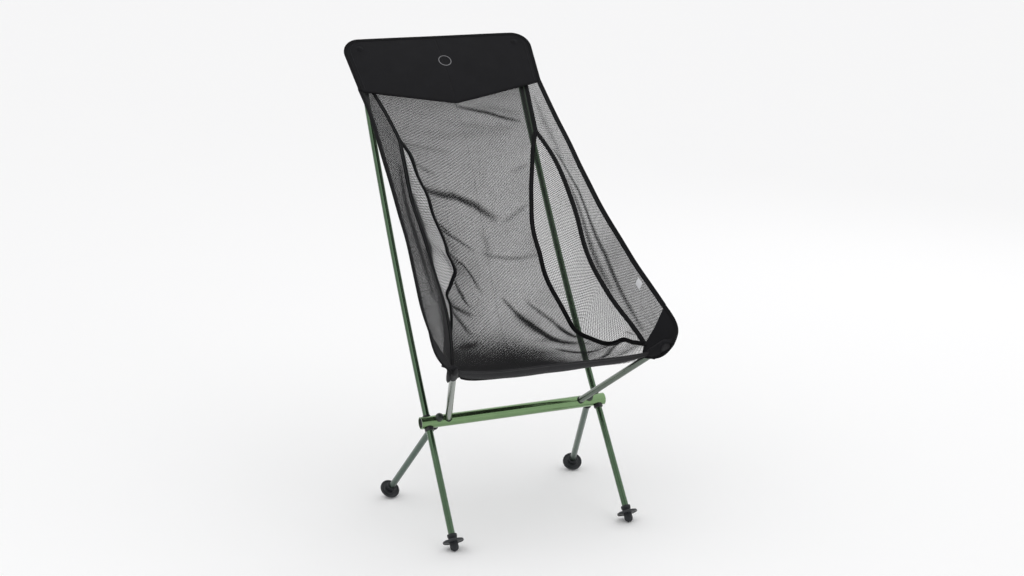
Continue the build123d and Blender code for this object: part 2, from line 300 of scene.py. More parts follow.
def paint(tree, shader, factor, look):
    # the look's dark colour at factor 0, its light colour at 1, straight between them
    mix = tree.nodes.new("ShaderNodeMix")
    mix.data_type = "RGBA"
    tree.links.new(factor, mix.inputs["Factor"])
    mix.inputs["A"].default_value = (*look["dark"], 1)
    mix.inputs["B"].default_value = (*look["light"], 1)
    tree.links.new(mix.outputs["Result"], shader.inputs["Base Color"])


def netCloth(name, look):
    # round holes in a slanted square lattice of the cloth's own UV; a per-point value shrinks them, partly for
    # denser gathered cloth and partly as painted shade
    material, tree, shader = blank(name)
    uv = add(tree, "ShaderNodeUVMap", uv_map="cloth").outputs["UV"]
    scale = 1 / look["pitch"]
    turned = add(tree, "ShaderNodeMapping", {"Vector": uv, "Rotation": (0, 0, math.radians(look["slant"])),
                                            "Scale": (scale, scale, 1)}).outputs["Vector"]
    cell = add(tree, "ShaderNodeVectorMath", {0: turned}, operation="FRACTION").outputs["Vector"]
    centred = add(tree, "ShaderNodeVectorMath", {0: cell, 1: (0.5, 0.5, 0)},
                  operation="SUBTRACT").outputs["Vector"]
    flat = add(tree, "ShaderNodeVectorMath", {0: centred, 1: (1, 1, 0)},
               operation="MULTIPLY").outputs["Vector"]
    reach = add(tree, "ShaderNodeVectorMath", {0: flat}, operation="LENGTH").outputs["Value"]
    gather = add(tree, "ShaderNodeAttribute", attribute_name="gather").outputs["Fac"]
    ribWay = add(tree, "ShaderNodeMapping",
                 {"Vector": uv, "Rotation": (0, 0, math.radians(look["ribSlant"]))})
    ribX = add(tree, "ShaderNodeSeparateXYZ", {"Vector": ribWay.outputs["Vector"]}).outputs["X"]
    rib = sums(tree, "SINE", sums(tree, "MULTIPLY", ribX, 2 * math.pi / look["ribPitch"]))
    drift = noise(tree, uv, look["driftScale"], 3.0)
    loose = sums(tree, "MULTIPLY_ADD", drift, look["drift"], -look["drift"] / 2)
    grown = sums(tree, "ADD", sums(tree, "ADD", reach, loose), sums(tree, "MULTIPLY", gather, look["close"]))
    grown = sums(tree, "MULTIPLY_ADD", rib, look["rib"], grown)
    yarn = add(tree, "ShaderNodeMapRange", {"Value": grown, "From Min": look["hole"] - 0.04,
                                           "From Max": look["hole"] + 0.04}).outputs["Result"]
    tree.links.new(yarn, shader.inputs["Alpha"])
    twist = noise(tree, turned, 2.3, 2.0)
    paint(tree, shader, twist, look)
    bump = add(tree, "ShaderNodeBump", {"Height": grown, "Strength": 0.35, "Distance": 0.0004})
    tree.links.new(bump.outputs["Normal"], shader.inputs["Normal"])
    fill(shader, {"Roughness": look["roughness"], "Specular IOR Level": 0.15, "Sheen Weight": look["sheen"],
                  "Sheen Roughness": 0.5})
    return material


def wovenCloth(name, look):
    # plain weave: warp and weft ridges as two sine waves along the cloth, over and under in turn
    material, tree, shader = blank(name)
    uv = add(tree, "ShaderNodeUVMap", uv_map="cloth").outputs["UV"]
    split = add(tree, "ShaderNodeSeparateXYZ", {"Vector": uv})
    turn = math.pi / look["thread"]
    warp = sums(tree, "SINE", sums(tree, "MULTIPLY", split.outputs["X"], turn))
    weft = sums(tree, "SINE", sums(tree, "MULTIPLY", split.outputs["Y"], turn * look["ribs"]))
    weave = sums(tree, "MULTIPLY", warp, weft)
    cloudy = noise(tree, uv, 22.0, 4.0, 0.6)
    fluff = noise(tree, uv, 1400.0, 2.0)
    tone = sums(tree, "ADD", sums(tree, "MULTIPLY_ADD", weave, 0.16, 0.12), sums(tree, "MULTIPLY", cloudy,
            0.75))
    tone = sums(tree, "MULTIPLY_ADD", fluff, 0.25, tone)
    paint(tree, shader, tone, look)
    fine = add(tree, "ShaderNodeBump", {"Height": weave, "Strength": look["bump"], "Distance": 0.0002})
    soft = add(tree, "ShaderNodeBump", {"Height": cloudy, "Strength": 0.25, "Distance": 0.004,
                                       "Normal": fine.outputs["Normal"]})
    tree.links.new(soft.outputs["Normal"], shader.inputs["Normal"])
    rough = add(tree, "ShaderNodeMapRange", {"Value": fluff, "To Min": look["roughness"] - 0.08,
                                            "To Max": look["roughness"] + 0.08}).outputs["Result"]
    tree.links.new(rough, shader.inputs["Roughness"])
    fill(shader, {"Specular IOR Level": 0.12, "Sheen Weight": look["sheen"], "Sheen Roughness": 0.4})
    return material


def anodised(name, look):
    # dyed aluminium: fine cloudy colour, faint drawing marks, a satin coat
    material, tree, shader = blank(name)
    spot = add(tree, "ShaderNodeTexCoord").outputs["Object"]
    cloudy = noise(tree, spot, 35.0, 4.0)
    marks = noise(tree, spot, 900.0, 2.0)
    wear = noise(tree, spot, 160.0, 6.0, 0.7)
    rubbed = add(tree, "ShaderNodeMapRange", {"Value": wear, "From Min": 0.68,
            "From Max": 0.74}).outputs["Result"]
    tone = sums(tree, "MULTIPLY_ADD", rubbed, 0.5, cloudy)
    paint(tree, shader, tone, look)
    rough = add(tree, "ShaderNodeMapRange", {"Value": marks, "To Min": look["roughness"] - 0.05,
                                            "To Max": look["roughness"] + 0.07}).outputs["Result"]
    tree.links.new(rough, shader.inputs["Roughness"])
    bump = add(tree, "ShaderNodeBump", {"Height": marks, "Strength": 0.04, "Distance": 0.0003})
    tree.links.new(bump.outputs["Normal"], shader.inputs["Normal"])
    fill(shader, {"Metallic": 1.0, "Coat Weight": look["coat"], "Coat Roughness": 0.12})
    return material


def moulded(name, look):
    # spark-eroded plastic or rubber: grainy bump, dusty high spots
    material, tree, shader = blank(name)
    spot = add(tree, "ShaderNodeTexCoord").outputs["Object"]
    grain = add(tree, "ShaderNodeTexVoronoi", {"Vector": spot, "Scale": look["grain"]}).outputs["Distance"]
    cloudy = noise(tree, spot, 60.0, 5.0)
    paint(tree, shader, cloudy, look)
    bump = add(tree, "ShaderNodeBump", {"Height": grain, "Strength": 0.25, "Distance": 0.0003})
    tree.links.new(bump.outputs["Normal"], shader.inputs["Normal"])
    rough = add(tree, "ShaderNodeMapRange", {"Value": cloudy, "To Min": look["roughness"] - 0.1,
                                            "To Max": look["roughness"] + 0.1}).outputs["Result"]
    tree.links.new(rough, shader.inputs["Roughness"])
    return material


netYarn = {"dark": (0.006, 0.006, 0.007), "light": (0.018, 0.018, 0.019), "roughness": 0.6, "sheen": 0.03}
netLooks = {
    "seatNet": {"pitch": 0.0018, "slant": 45, "hole": 0.325, "close": 0.21, "drift": 0.05,
                "driftScale": 9.0, "ribSlant": 125, "ribPitch": 0.0050, "rib": 0.046,
                **netYarn},
    "wingNet": {"pitch": 0.0018, "slant": 45, "hole": 0.355, "close": 0.21, "drift": 0.05,
                "driftScale": 12.0, "ribSlant": 55, "ribPitch": 0.0050, "rib": 0.040,
                **netYarn},
    "gussetNet": {"pitch": 0.0026, "slant": 45, "hole": 0.385, "close": 0.25, "drift": 0.04,
                  "driftScale": 12.0, "ribSlant": 112, "ribPitch": 0.0050, "rib": 0.060,
                  **netYarn},
}
clothLooks = {
    "headCloth": {"thread": 0.0011, "ribs": 1.0, "dark": (0.005, 0.005, 0.006), "light": (0.014, 0.014,
            0.016),
                  "roughness": 0.75, "sheen": 0.03, "bump": 0.5},
    "hemCloth": {"thread": 0.0011, "ribs": 1.0, "dark": (0.014, 0.014, 0.015), "light": (0.032, 0.032, 0.034),
                 "roughness": 0.65, "sheen": 0.05, "bump": 0.5},
    "tapeCloth": {"thread": 0.0016, "ribs": 0.5, "dark": (0.003, 0.003, 0.004), "light": (0.010, 0.010,
            0.011),
                  "roughness": 0.8, "sheen": 0.02, "bump": 0.8},
    "labelCloth": {"thread": 0.0008, "ribs": 1.0, "dark": (0.50, 0.51, 0.53), "light": (0.74, 0.74, 0.76),
                   "roughness": 0.5, "sheen": 0.1, "bump": 0.4},
    "threadCloth": {"thread": 0.0006, "ribs": 1.0, "dark": (0.012, 0.012, 0.013), "light": (0.035, 0.035,
            0.037),
                    "roughness": 0.55, "sheen": 0.05, "bump": 0.4},
    "markCloth": {"thread": 0.0006, "ribs": 1.0, "dark": (0.16, 0.16, 0.17), "light": (0.32, 0.32, 0.33),
                  "roughness": 0.5, "sheen": 0.1, "bump": 0.3},
}
metalLooks = {
    "barGreen": {"dark": (0.130, 0.235, 0.095), "light": (0.195, 0.320, 0.145), "roughness": 0.18,
                 "coat": 0.8},
    "poleGreen": {"dark": (0.028, 0.068, 0.028), "light": (0.062, 0.130, 0.058), "roughness": 0.20,
                  "coat": 1.0},
    "seatPoleGreen": {"dark": (0.098, 0.128, 0.100), "light": (0.150, 0.182, 0.148), "roughness": 0.24,
                      "coat": 0.8},
    "rearLegGreen": {"dark": (0.070, 0.105, 0.085), "light": (0.110, 0.150, 0.122), "roughness": 0.28,
                     "coat": 0.6},
    "bareAluminium": {"dark": (0.60, 0.60, 0.61), "light": (0.75, 0.75, 0.76), "roughness": 0.28,
                      "coat": 0.0},
}
plasticLooks = {
    "blackPlastic": {"grain": 900.0, "dark": (0.008, 0.009, 0.010), "light": (0.018, 0.019, 0.021),
                     "roughness": 0.42},
    "capPlastic": {"grain": 900.0, "dark": (0.014, 0.022, 0.017), "light": (0.030, 0.042, 0.033),
                   "roughness": 0.35},
    "discPlastic": {"grain": 700.0, "dark": (0.014, 0.016, 0.018), "light": (0.030, 0.033, 0.037),
                    "roughness": 0.45},
    "footRubber": {"grain": 1200.0, "dark": (0.007, 0.008, 0.010), "light": (0.016, 0.018, 0.022),
                   "roughness": 0.6},
}
finish = {name: netCloth(name, look) for name, look in netLooks.items()}
finish.update({name: wovenCloth(name, look) for name, look in clothLooks.items()})
finish.update({name: anodised(name, look) for name, look in metalLooks.items()})
finish.update({name: moulded(name, look) for name, look in plasticLooks.items()})

hardParts = {
    "crossbar": "barGreen", "crossbar_plug": "blackPlastic", "long_pole_socket": "blackPlastic",
    "rear_leg_socket": "blackPlastic", "rear_socket_cap": "capPlastic", "seat_pole_socket": "blackPlastic",
    "back_pole_lower": "poleGreen", "back_pole_upper": "poleGreen", "back_pole_ferrule": "bareAluminium",
    "back_pole_tip": "blackPlastic", "seat_pole": "seatPoleGreen", "seat_pole_tip": "blackPlastic",
    "front_leg": "poleGreen", "rear_leg": "rearLegGreen", "front_foot": "footRubber",
    "rear_foot": "footRubber",
    "front_foot_disc": "discPlastic", "rear_foot_disc": "discPlastic",
}
for nodeName, node in nodes.items():
    kind = nodeName.replace("_left", "").replace("_right", "")
    if kind in hardParts:
        for materialSlot in node.material_slots:
            materialSlot.material = finish[hardParts[kind]]
print("materials made")


# sewing lines, for the +X side

edgeLine = [(195, 321, 803), (194, 271, 768), (196, 225, 732), (199, 180, 697), (201, 138, 662),
            (204, 96, 628),
            (207, 55, 595), (211, 12, 564), (217, -30, 533), (223, -71, 502), (230, -114, 473),
            (236, -172, 439)]
topSeamLine = [(166, 326, 798), (155, 275, 757), (147, 232, 718)]
outerSeamLine = [(147, 232, 718), (157, 177, 681), (163, 136, 643), (165, 100, 605), (163, 62, 569),
                 (161, 32, 532),
                 (161, -4, 496), (164, -48, 464), (171, -94, 432), (183, -140, 401), (195, -175, 370)]
innerSeamLine = [(147, 232, 718), (131, 209, 686), (123, 195, 650), (112, 174, 617), (106, 159, 581),
                 (98, 136, 547),
                 (94, 108, 516), (94, 82, 482), (103, 74, 447), (112, 48, 415), (122, 21, 383), (133, 3, 357),
                 (150, -30, 347), (168, -62, 343), (184, -97, 352), (195, -175, 370)]
centreLine = [(0, 303, 772), (0, 252, 712), (0, 211, 648), (0, 160, 545), (0, 125, 470), (0, 84, 392),
              (0, 34, 328), (0, -60, 307), (0, -147, 328)]
hemRearLines = {
    "left": [(-1, -147, 328), (60, -148, 328), (100, -150, 330), (160, -163, 336), (187, -181, 350)],
    "right": [(-1, -147, 328), (60, -148, 328), (100, -151, 331), (160, -165, 342), (187, -183, 357)],
}
hemRimLines = {
    "left": [(-1, -172, 350), (60, -172, 349), (100, -174, 349), (160, -183, 352), (193, -197, 359)],
    "right": [(-1, -172, 350), (60, -172, 350), (100, -174, 351), (160, -185, 360), (193, -198, 368)],
}
# where a seam strays from its drawn line: share of its length, how far, how wide, and which way
seamWaves = {
    "left": [(0.42, 1.5, 0.03, (1, 0, 0)), (0.885, 6.0, 0.03, (0, 0, 1))],
    "right": [(0.395, 3.0, 0.02, (1, 0, 0)), (0.455, -4.5, 0.02, (1, 0, 0)), (0.525, 6.5, 0.022, (1, 0, 0))],
}


def innerSeam(sideName, count):
    # the drawn line plus one bell-shaped stray for each wave
    line = smoothLine(innerSeamLine, count)
    share = np.linspace(0, 1, count)[:, None]
    for at, far, wide, way in seamWaves[sideName]:
        line = line + far * np.exp(-((share - at) / wide) ** 2) * np.array(way)
    return line


cornerBack = [(195, -175, 370), (216, -176, 403), (236, -172, 439)]
cornerSide = [(236, -172, 439), (240, -201, 420), (237, -221, 403), (221, -236, 383)]
cornerFronts = {
    "left": [(187, -181, 350), (198, -204, 352), (209, -223, 362), (221, -236, 383)],
    "right": [(187, -183, 357), (198, -204, 363), (209, -222, 371), (221, -236, 383)],
}
cornerInners = {
    "left": [(195, -175, 370), (190, -178, 360), (187, -181, 350)],
    "right": [(195, -175, 370), (190, -179, 364), (187, -183, 357)],
}


def pullCorner(piece, sideName):
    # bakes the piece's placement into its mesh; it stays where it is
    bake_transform(piece)


def pullHead(piece, sideName):
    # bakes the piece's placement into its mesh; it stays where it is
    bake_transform(piece)


# centre net

seatNet = {"rows": 190, "columns": 80, "wall": 0.0003, "tuck": 13.0, "flat": (0.165, 0.80), "area": 0.104,
           "overlap": 0.002, "foldSize": (0.13, 0.79)}
# folds: points as (share of the half width towards the sitter's left, share of the length down), then the
# width and height in metres and how far the holes close, which paints shade into the crease and partly
# stands for the doubled cloth
seatFolds = [
    ([(0.00, 0.006), (0.38, 0.047), (0.80, 0.105)], 0.0032, 0.0020, 1.00),
    ([(0.25, 0.018), (0.55, 0.045), (0.80, 0.080)], 0.0080, 0.0012, 0.22),
    ([(-0.35, 0.058), (0.10, 0.072), (0.60, 0.108)], 0.0080, 0.0010, 0.16),
    ([(-0.96, 0.160), (-0.60, 0.155), (-0.25, 0.156)], 0.0040, 0.0012, 0.22),
    ([(-0.96, 0.222), (-0.66, 0.238)], 0.0060, 0.0016, 0.35),
    ([(-1.00, 0.296), (-0.42, 0.290), (-0.08, 0.314), (0.28, 0.362)], 0.0074, 0.0038, 1.08),
    ([(0.42, 0.378), (0.96, 0.353)], 0.0050, 0.0016, 0.30),
    ([(0.62, 0.245), (0.95, 0.247)], 0.0050, 0.0012, 0.22),
    ([(-0.98, 0.385), (-0.75, 0.404)], 0.0045, 0.0015, 0.60),
    ([(-0.98, 0.402), (-0.58, 0.421), (-0.30, 0.446)], 0.0040, 0.0020, 0.60),
    ([(-0.98, 0.467), (-0.62, 0.492), (-0.25, 0.566)], 0.0042, 0.0022, 0.60),
    ([(-0.92, 0.550), (-0.66, 0.580), (-0.52, 0.612)], 0.0036, 0.0022, 0.85),
    ([(-1.00, 0.613), (-0.50, 0.635)], 0.0050, 0.0020, 0.70),
    ([(-0.98, 0.627), (-0.56, 0.690)], 0.0050, 0.0020, 0.65),
    ([(-0.10, 0.455), (0.45, 0.482), (0.97, 0.503)], 0.0042, 0.0016, 0.40),
    ([(0.15, 0.590), (0.56, 0.692), (0.74, 0.746), (0.92, 0.785)], 0.0040, 0.0030, 1.00),
    ([(0.30, 0.640), (0.60, 0.712), (0.80, 0.772)], 0.0050, 0.0018, 0.55),
    ([(0.55, 0.610), (0.79, 0.680), (0.94, 0.746)], 0.0036, 0.0022, 0.65),
    ([(0.84, 0.700), (0.94, 0.748)], 0.0030, 0.0016, 0.80),
    ([(0.45, 0.726), (0.73, 0.734)], 0.0050, 0.0012, 0.35),
    ([(0.60, 0.772), (0.75, 0.817), (0.88, 0.836)], 0.0034, 0.0020, 0.95),
    ([(-0.78, 0.730), (-0.45, 0.716)], 0.0060, 0.0018, 0.70),
    ([(0.77, 0.832), (0.96, 0.848)], 0.0040, 0.0014, 0.70),
    ([(0.72, 0.920), (0.88, 0.884), (1.00, 0.876)], 0.0044, 0.0022, 0.90),
    ([(0.80, 0.955), (0.96, 0.945)], 0.0034, 0.0014, 0.60),
    ([(0.30, 0.640), (0.62, 0.700)], 0.0200, 0.0020, 0.22),
    ([(-0.60, 0.110), (0.00, 0.098), (0.70, 0.118)], 0.0120, 0.0012, 0.14),
    ([(0.00, 0.395), (0.06, 0.440), (0.02, 0.480)], 0.0090, 0.0014, 0.20),
    ([(0.30, 0.755), (0.64, 0.800)], 0.0120, 0.0010, 0.32),
    ([(-0.30, 0.860), (0.20, 0.850), (0.55, 0.872)], 0.0040, 0.0014, 0.35),
    ([(0.40, 0.930), (0.62, 0.900), (0.78, 0.905)], 0.0036, 0.0016, 0.60),
]


def seatNetGrid(sideName="left"):
    # each row is an arc from the centre line to the seam: depth grows with a power of the share of the width
    rows, columns = seatNet["rows"], seatNet["columns"]
    top = smoothLine(topSeamLine, 60)
    seam = innerSeam(sideName, 300)
    end = smoothLine(cornerInners[sideName], 20)
    side = evenly(np.concatenate([top, seam[1:], end[1:]]), rows)
    centre = smoothLine(centreLine, rows)
    v = np.linspace(0, 1, rows)
    u = np.linspace(-seatNet["overlap"], 1, columns)
    power = np.interp(v, [0, 0.12, 0.3, 0.75, 0.9, 1], [1.15, 1.7, 2.1, 2.2, 3.0, 4.2])
    share = np.abs(u[None, :]) ** power[:, None]
    grid = np.empty((rows, columns, 3))
    grid[:, :, 0] = u[None, :] * side[:, 0:1]
    grid[:, :, 1] = centre[:, 1:2] + (side[:, 1:2] - centre[:, 1:2]) * share
    grid[:, :, 2] = centre[:, 2:3] + (side[:, 2:3] - centre[:, 2:3]) * share
    return grid, u, v


def buildSeatNet(sideName):
    # the arcs pressed back along their normals by the folds and a small ripple
    side = sides[sideName]
    grid, u, v = seatNetGrid(sideName)
    down = np.repeat(v[:, None], len(u), axis=1)
    width, length = seatNet["foldSize"]
    lift, densityAndShade = foldField(side * u[None, :] * width, down * length, scaledFolds(seatFolds, (width, length)))
    ripple = 0.0006 * np.sin(side * u[None, :] * 9 + down * 31) * np.sin(down * 17)
    border = np.clip((1 - np.abs(u[None, :])) / 0.05, 0, 1) * np.clip((1 - down) / 0.04, 0, 1)
    normal = gridNormals(grid)
    normal[:, :3] *= np.array([0, 1, 1])
    grid = grid - unit(normal) * ((lift + ripple) * border * 1000)[:, :, None]
    across = side * u
    # painted darkening: holes close more towards the hem and a little along the top, and open wider at the
    # sitter's left front
    start = np.interp(across, [-1, 0, 0.4, 0.84, 1], [0.655, 0.660, 0.690, 0.770, 0.800])
    pan = np.clip((down - start[None, :]) / 0.12, 0, 1)
    strength = np.interp(across, [-1, -0.4, 0, 0.25, 0.4, 0.6, 1], [0.62, 0.85, 0.95, 0.82, 0.38, -0.30,
            -0.45])
    shade = densityAndShade + strength[None, :] * pan * pan * (3 - 2 * pan) + 0.15 * np.clip((0.06 - down) / 0.06, 0, 1)
    grid = tucked(grid, seatNet["tuck"], 8.0)
    uv = clothUv(grid)
    uv[:, :, 0] *= side
    shade = np.concatenate([shade[:1], shade, shade[-1:]])
    piece = makeSurface("seat_net_" + sideName, flip(place(grid), side), finish["seatNet"], uv / 1000,
                        gather=shade, turned=side < 0)
    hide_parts("back_mesh")
    thicken(piece, seatNet["wall"])
    pullCorner(piece, sideName)


# side panels

sidePanel = {"rows": 150, "columns": 30, "belly": 5.0, "wingBelly": 2.0, "gussetWall": 0.0002,
             "wingWall": 0.0001, "tuck": (13.0, 7.0),
             "gussetSize": (0.07, 0.68), "wingSize": (0.06, 0.75),
             # values that close the holes all over and over the low part: painted shade on one side's panels,
             # partly denser gathered cloth
             "gussetGather": {"left": (0.0, 0.0), "right": (0.06, 0.25)},
             "wingGather": {"left": (0.0, 0.25), "right": (0.74, -0.20)}}
# folds as (share of the width from the inner line, share of the length down), then width and height in
# metres and how far the holes close: painted shade in the crease, partly the doubled cloth
gussetFolds = {
    "left": [([(0.30, 0.88), (0.45, 0.93)], 0.0028, 0.0014, 0.6), ([(0.25, 0.955), (0.55, 0.94)], 0.0026,
            0.0012, 0.6)],
    "right": [([(0.80, 0.25), (0.92, 0.55), (0.95, 0.90)], 0.0100, 0.0020, 1.2),
              ([(0.25, 0.40), (0.10, 0.47)], 0.0030, 0.0012, 0.5)],
}
wingFolds = {
    "left": [([(0.20, 0.28), (0.45, 0.45), (0.45, 0.70), (0.15, 0.97)], 0.0028, 0.0022, 1.1),
             ([(0.18, 0.40), (0.20, 0.60), (0.12, 0.80)], 0.0045, 0.0018, 0.8),
             ([(0.35, 0.05), (0.50, 0.20), (0.30, 0.34)], 0.0060, 0.0014, 0.35)],
    "right": [([(0.25, 0.30), (0.45, 0.50), (0.40, 0.80)], 0.0060, 0.0020, 0.8),
              ([(0.10, 0.60), (0.12, 0.78), (0.20, 0.96)], 0.0080, 0.0016, 0.8)],
}


def ruled(lineA, lineB, columns, belly):
    # straight across from one line to the other, pushed out most at mid-width
    w = np.linspace(0, 1, columns)[None, :, None]
    grid = lineA[:, None] * (1 - w) + lineB[:, None] * w
    return grid + gridNormals(grid) * belly * 4 * w * (1 - w)


def foldedPanel(grid, folds, size, gathersAndShade, tuck):
    # folds raised along the normals; the first gather value all over, the second added over the low part;
    # these and the folds' own values close the holes as painted shade, partly standing for gathered cloth
    rows, columns = grid.shape[:2]
    across = np.linspace(0, 1, columns)[None, :]
    down = np.linspace(0, 1, rows)[:, None]
    lift, densityAndShade = foldField(across * size[0], down * size[1], scaledFolds(folds, size))
    border = np.clip(across / 0.12, 0, 1) * np.clip((1 - across) / 0.12, 0, 1)
    grid = grid + gridNormals(grid) * (lift * border * 1000)[:, :, None]
    low = np.clip((down - 0.55) / 0.2, 0, 1)
    densityAndShade = densityAndShade + gathersAndShade[0] + gathersAndShade[1] * low * low * (3 - 2 * low)
    densityAndShade = np.concatenate([densityAndShade[:1], densityAndShade, densityAndShade[-1:]])
    return tucked(grid, *tuck), densityAndShade


def buildSidePanels(sideName):
    # the gusset between the inner and outer seams, the wing between the outer seam and the edge
    side = sides[sideName]
    rows, columns = sidePanel["rows"], sidePanel["columns"]
    inner = innerSeam(sideName, rows)
    outer = smoothLine(outerSeamLine, rows)
    grid = ruled(inner, outer, columns, -sidePanel["belly"])
    grid, densityAndShade = foldedPanel(grid, gussetFolds[sideName], sidePanel["gussetSize"],
                              sidePanel["gussetGather"][sideName], (1.0, 7.0))
    gusset = makeSurface("side_gusset_net_" + sideName, flip(place(grid), side), finish["gussetNet"],
                         clothUv(grid) * np.array([side, 1]) / 1000,
                         gather=densityAndShade, turned=side < 0)
    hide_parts("side_gusset_" + sideName)
    thicken(gusset, sidePanel["gussetWall"])
    pullCorner(gusset, sideName)

    top = smoothLine(topSeamLine, 40)
    seam = evenly(np.concatenate([top, smoothLine(outerSeamLine, 200)[1:]]), rows)
    edge = smoothLine(edgeLine, rows)
    grid = ruled(seam, edge, columns, -sidePanel["wingBelly"])
    grid, densityAndShade = foldedPanel(grid, wingFolds[sideName], sidePanel["wingSize"],
                              sidePanel["wingGather"][sideName], sidePanel["tuck"])
    wing = makeSurface("side_wing_net_" + sideName, flip(place(grid), side), finish["wingNet"],
                       clothUv(grid) * np.array([side, 1]) / 1000,
                       gather=densityAndShade, turned=side < 0)
    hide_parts("side_wing_" + sideName)
    thicken(wing, sidePanel["wingWall"])
    pullCorner(wing, sideName)


# tapes

tapes = {"seamWidth": 9.2, "innerThick": 4.4, "seamThick": 2.0, "edgeWidth": 9.8, "edgeThick": 2.9,
         "underHead": 11.0, "steps": 170}


def buildTape(name, line, sideways, width, thick, sideName, node=None, pull=pullCorner,
              cloth=("tapeCloth", "binding_tape")):
    # one flattened oval along the line, in that cloth, then handed to the pull function
    side = sides[sideName]
    grid, uv = tapeGrid(line, sideways, width, thick)
    piece = makeSurface(name + "_" + sideName, flip(place(grid), side), finish[cloth[0]], uv / 1000,
                        closed=True, caps=True, turned=side < 0)
    if node:
        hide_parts(node + "_" + sideName)
    pull(piece, sideName)


def buildTapes(sideName):
    # a tape over each seam and the edge, each with a row of stitches on both faces
    steps = tapes["steps"]
    inner = innerSeam(sideName, steps)
    outer = smoothLine(outerSeamLine, steps)
    top = smoothLine(topSeamLine, 40)
    whole = evenly(np.concatenate([top, outer[1:]]), steps)
    edge = smoothLine(edgeLine, steps)
    edge = np.concatenate([edge[:1] + unit(edge[:1] - edge[2:3]) * tapes["underHead"], edge])
    whole = np.concatenate([whole[:1] + unit(whole[:1] - whole[2:3]) * tapes["underHead"], whole])
    buildTape("inner_seam_cover", inner, outer - inner + np.array([1e-3, 0, 0]), tapes["seamWidth"],
              tapes["innerThick"], sideName, "inner_seam_tape")
    for row, line, way, half in (("inner_seam", inner, outer - inner + np.array([1e-3, 0, 0]),
            tapes["innerThick"]),
                                 ("outer_seam", whole, edge - whole, tapes["seamThick"]),
                                 ("edge", edge, whole - edge, tapes["edgeThick"])):
        for face, out in (("front", half / 2), ("back", -half / 2)):
            stitchRow(row + "_stitches_" + face + "_" + sideName, line, way, 1.6, out, sideName, pullCorner)
    buildTape("outer_seam_cover", whole, edge - whole, tapes["seamWidth"], tapes["seamThick"], sideName,
              "outer_seam_tape")
    buildTape("edge_cover", edge, whole - edge, tapes["edgeWidth"], tapes["edgeThick"], sideName,
              "edge_binding")


# headrest

headrest = {"rows": 70, "columns": 80, "wall": 0.0022, "sideLow": 195, "sideHigh": 205, "cornerRound": 37,
            "top": 134, "topRise": 5, "veeDepth": 34, "endRise": 6, "sagBack": 9, "faceBow": 3.5,
            "origin": (0, 321, 803), "flat": (0.205, 0.155), "middle": (0, 360, 838), "piping": (8.0, 3.6),
            "lowerTape": (6.0, 2.6)}


def onHeadPlane(x, s, n):
    # the headrest's leaning plane: s runs up it, n stands off it towards the sitter
    k = math.sqrt(0.5)
    o = headrest["origin"]
    return np.stack([x, o[1] + (s - n) * k, o[2] + (s + n) * k], axis=-1)


def headGrid():
    # rows climb from the vee-shaped lower edge; the side line is nearly straight, then a quarter round
    v = 1 - (1 - np.linspace(0, 1, headrest["rows"])) ** 1.6
    u = np.linspace(-0.002, 1, headrest["columns"])
    radius = headrest["cornerRound"]
    s0 = v * headrest["top"]
    near = np.clip((s0 - (headrest["top"] - radius)) / radius, 0, 1)
    rounding = radius * (1 - np.sqrt(np.clip(1 - near**2, 0, 1)))
    width = headrest["sideLow"] + (headrest["sideHigh"] - headrest["sideLow"]) * v - rounding
    x = u[None, :] * width[:, None]
    share = np.clip(np.abs(x) / headrest["sideLow"], 0, 1)
    low = headrest["endRise"] - (headrest["veeDepth"] + headrest["endRise"]) * (1 - share)
    high = headrest["top"] + headrest["topRise"] * (1 - share**2)
    s = low + (high - low) * v[:, None]
    n = -headrest["sagBack"] * (1 - share**2) * (0.35 + 0.65 * v[:, None])
    n = n - 3 * share**3 * v[:, None] + headrest["faceBow"] * np.sin(np.pi * v[:, None]) * (1 - share**4)
    return onHeadPlane(x, s, n)


def buildHeadrest(sideName):
    # the leaning cloth, its piping, its lower tape and a row of stitches on both faces
    side = sides[sideName]
    grid = headGrid()
    uv = clothUv(grid)
    piece = makeSurface("headrest_cloth_" + sideName, flip(place(grid), side), finish["headCloth"], uv / 1000,
                        turned=side > 0)
    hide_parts("headrest")
    thicken(piece, headrest["wall"])
    pullHead(piece, sideName)
    # piping: up the side, round the corner and along the top
    rim = np.concatenate([grid[:, -1], grid[-1, ::-1][1:]])
    rim = evenly(rim, 160)
    middle = np.array(headrest["middle"])
    buildTape("headrest_piping", rim, middle - rim, *headrest["piping"], sideName, pull=pullHead)
    low = evenly(grid[0], 120)
    above = grid[3][np.linspace(0, len(grid[3]) - 1, 120).astype(int)]
    buildTape("headrest_lower_tape", low, above - low, *headrest["lowerTape"], sideName, pull=pullHead)
    border = evenly(np.concatenate([grid[2:, -5], grid[-5, ::-1][5:]]), 160)
    for face, out in (("front", 1.3), ("back", -1.3)):
        stitchRow("headrest_stitches_" + face + "_" + sideName, border, middle - border, 0.0, out,
                  sideName, pullHead)


ringMark = {"at": (4, 73), "radius": 13.0, "width": 1.5, "thick": 0.8, "steps": 90}


def buildRingMark():
    # a plain stitched ring on the headrest's face: a small oval section carried round a circle
    angle = np.linspace(0, 2 * np.pi, ringMark["steps"])
    x = ringMark["at"][0] + ringMark["radius"] * np.cos(angle)
    s = ringMark["at"][1] + ringMark["radius"] * np.sin(angle)
    v = (s + headrest["veeDepth"]) / (headrest["top"] + headrest["veeDepth"])
    path = onHeadPlane(x, s,
                       headrest["faceBow"] * np.sin(np.pi * v) - headrest["sagBack"] * (0.35 + 0.65 * v) + 1.2)
    grid, uv = tapeGrid(path, path - path[:-1].mean(axis=0), ringMark["width"], ringMark["thick"], around=8)
    ring = makeSurface("ring_mark", place(grid[:-1]), finish["markCloth"], uv[:-1] / 1000, closed=True,
                       loop=True)
    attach(ring, "frame")


# hem and front corners

hem = {"rows": 14, "columns": 80, "wall": 0.0020, "roll": (6.0, 3.4), "belly": 3.0}


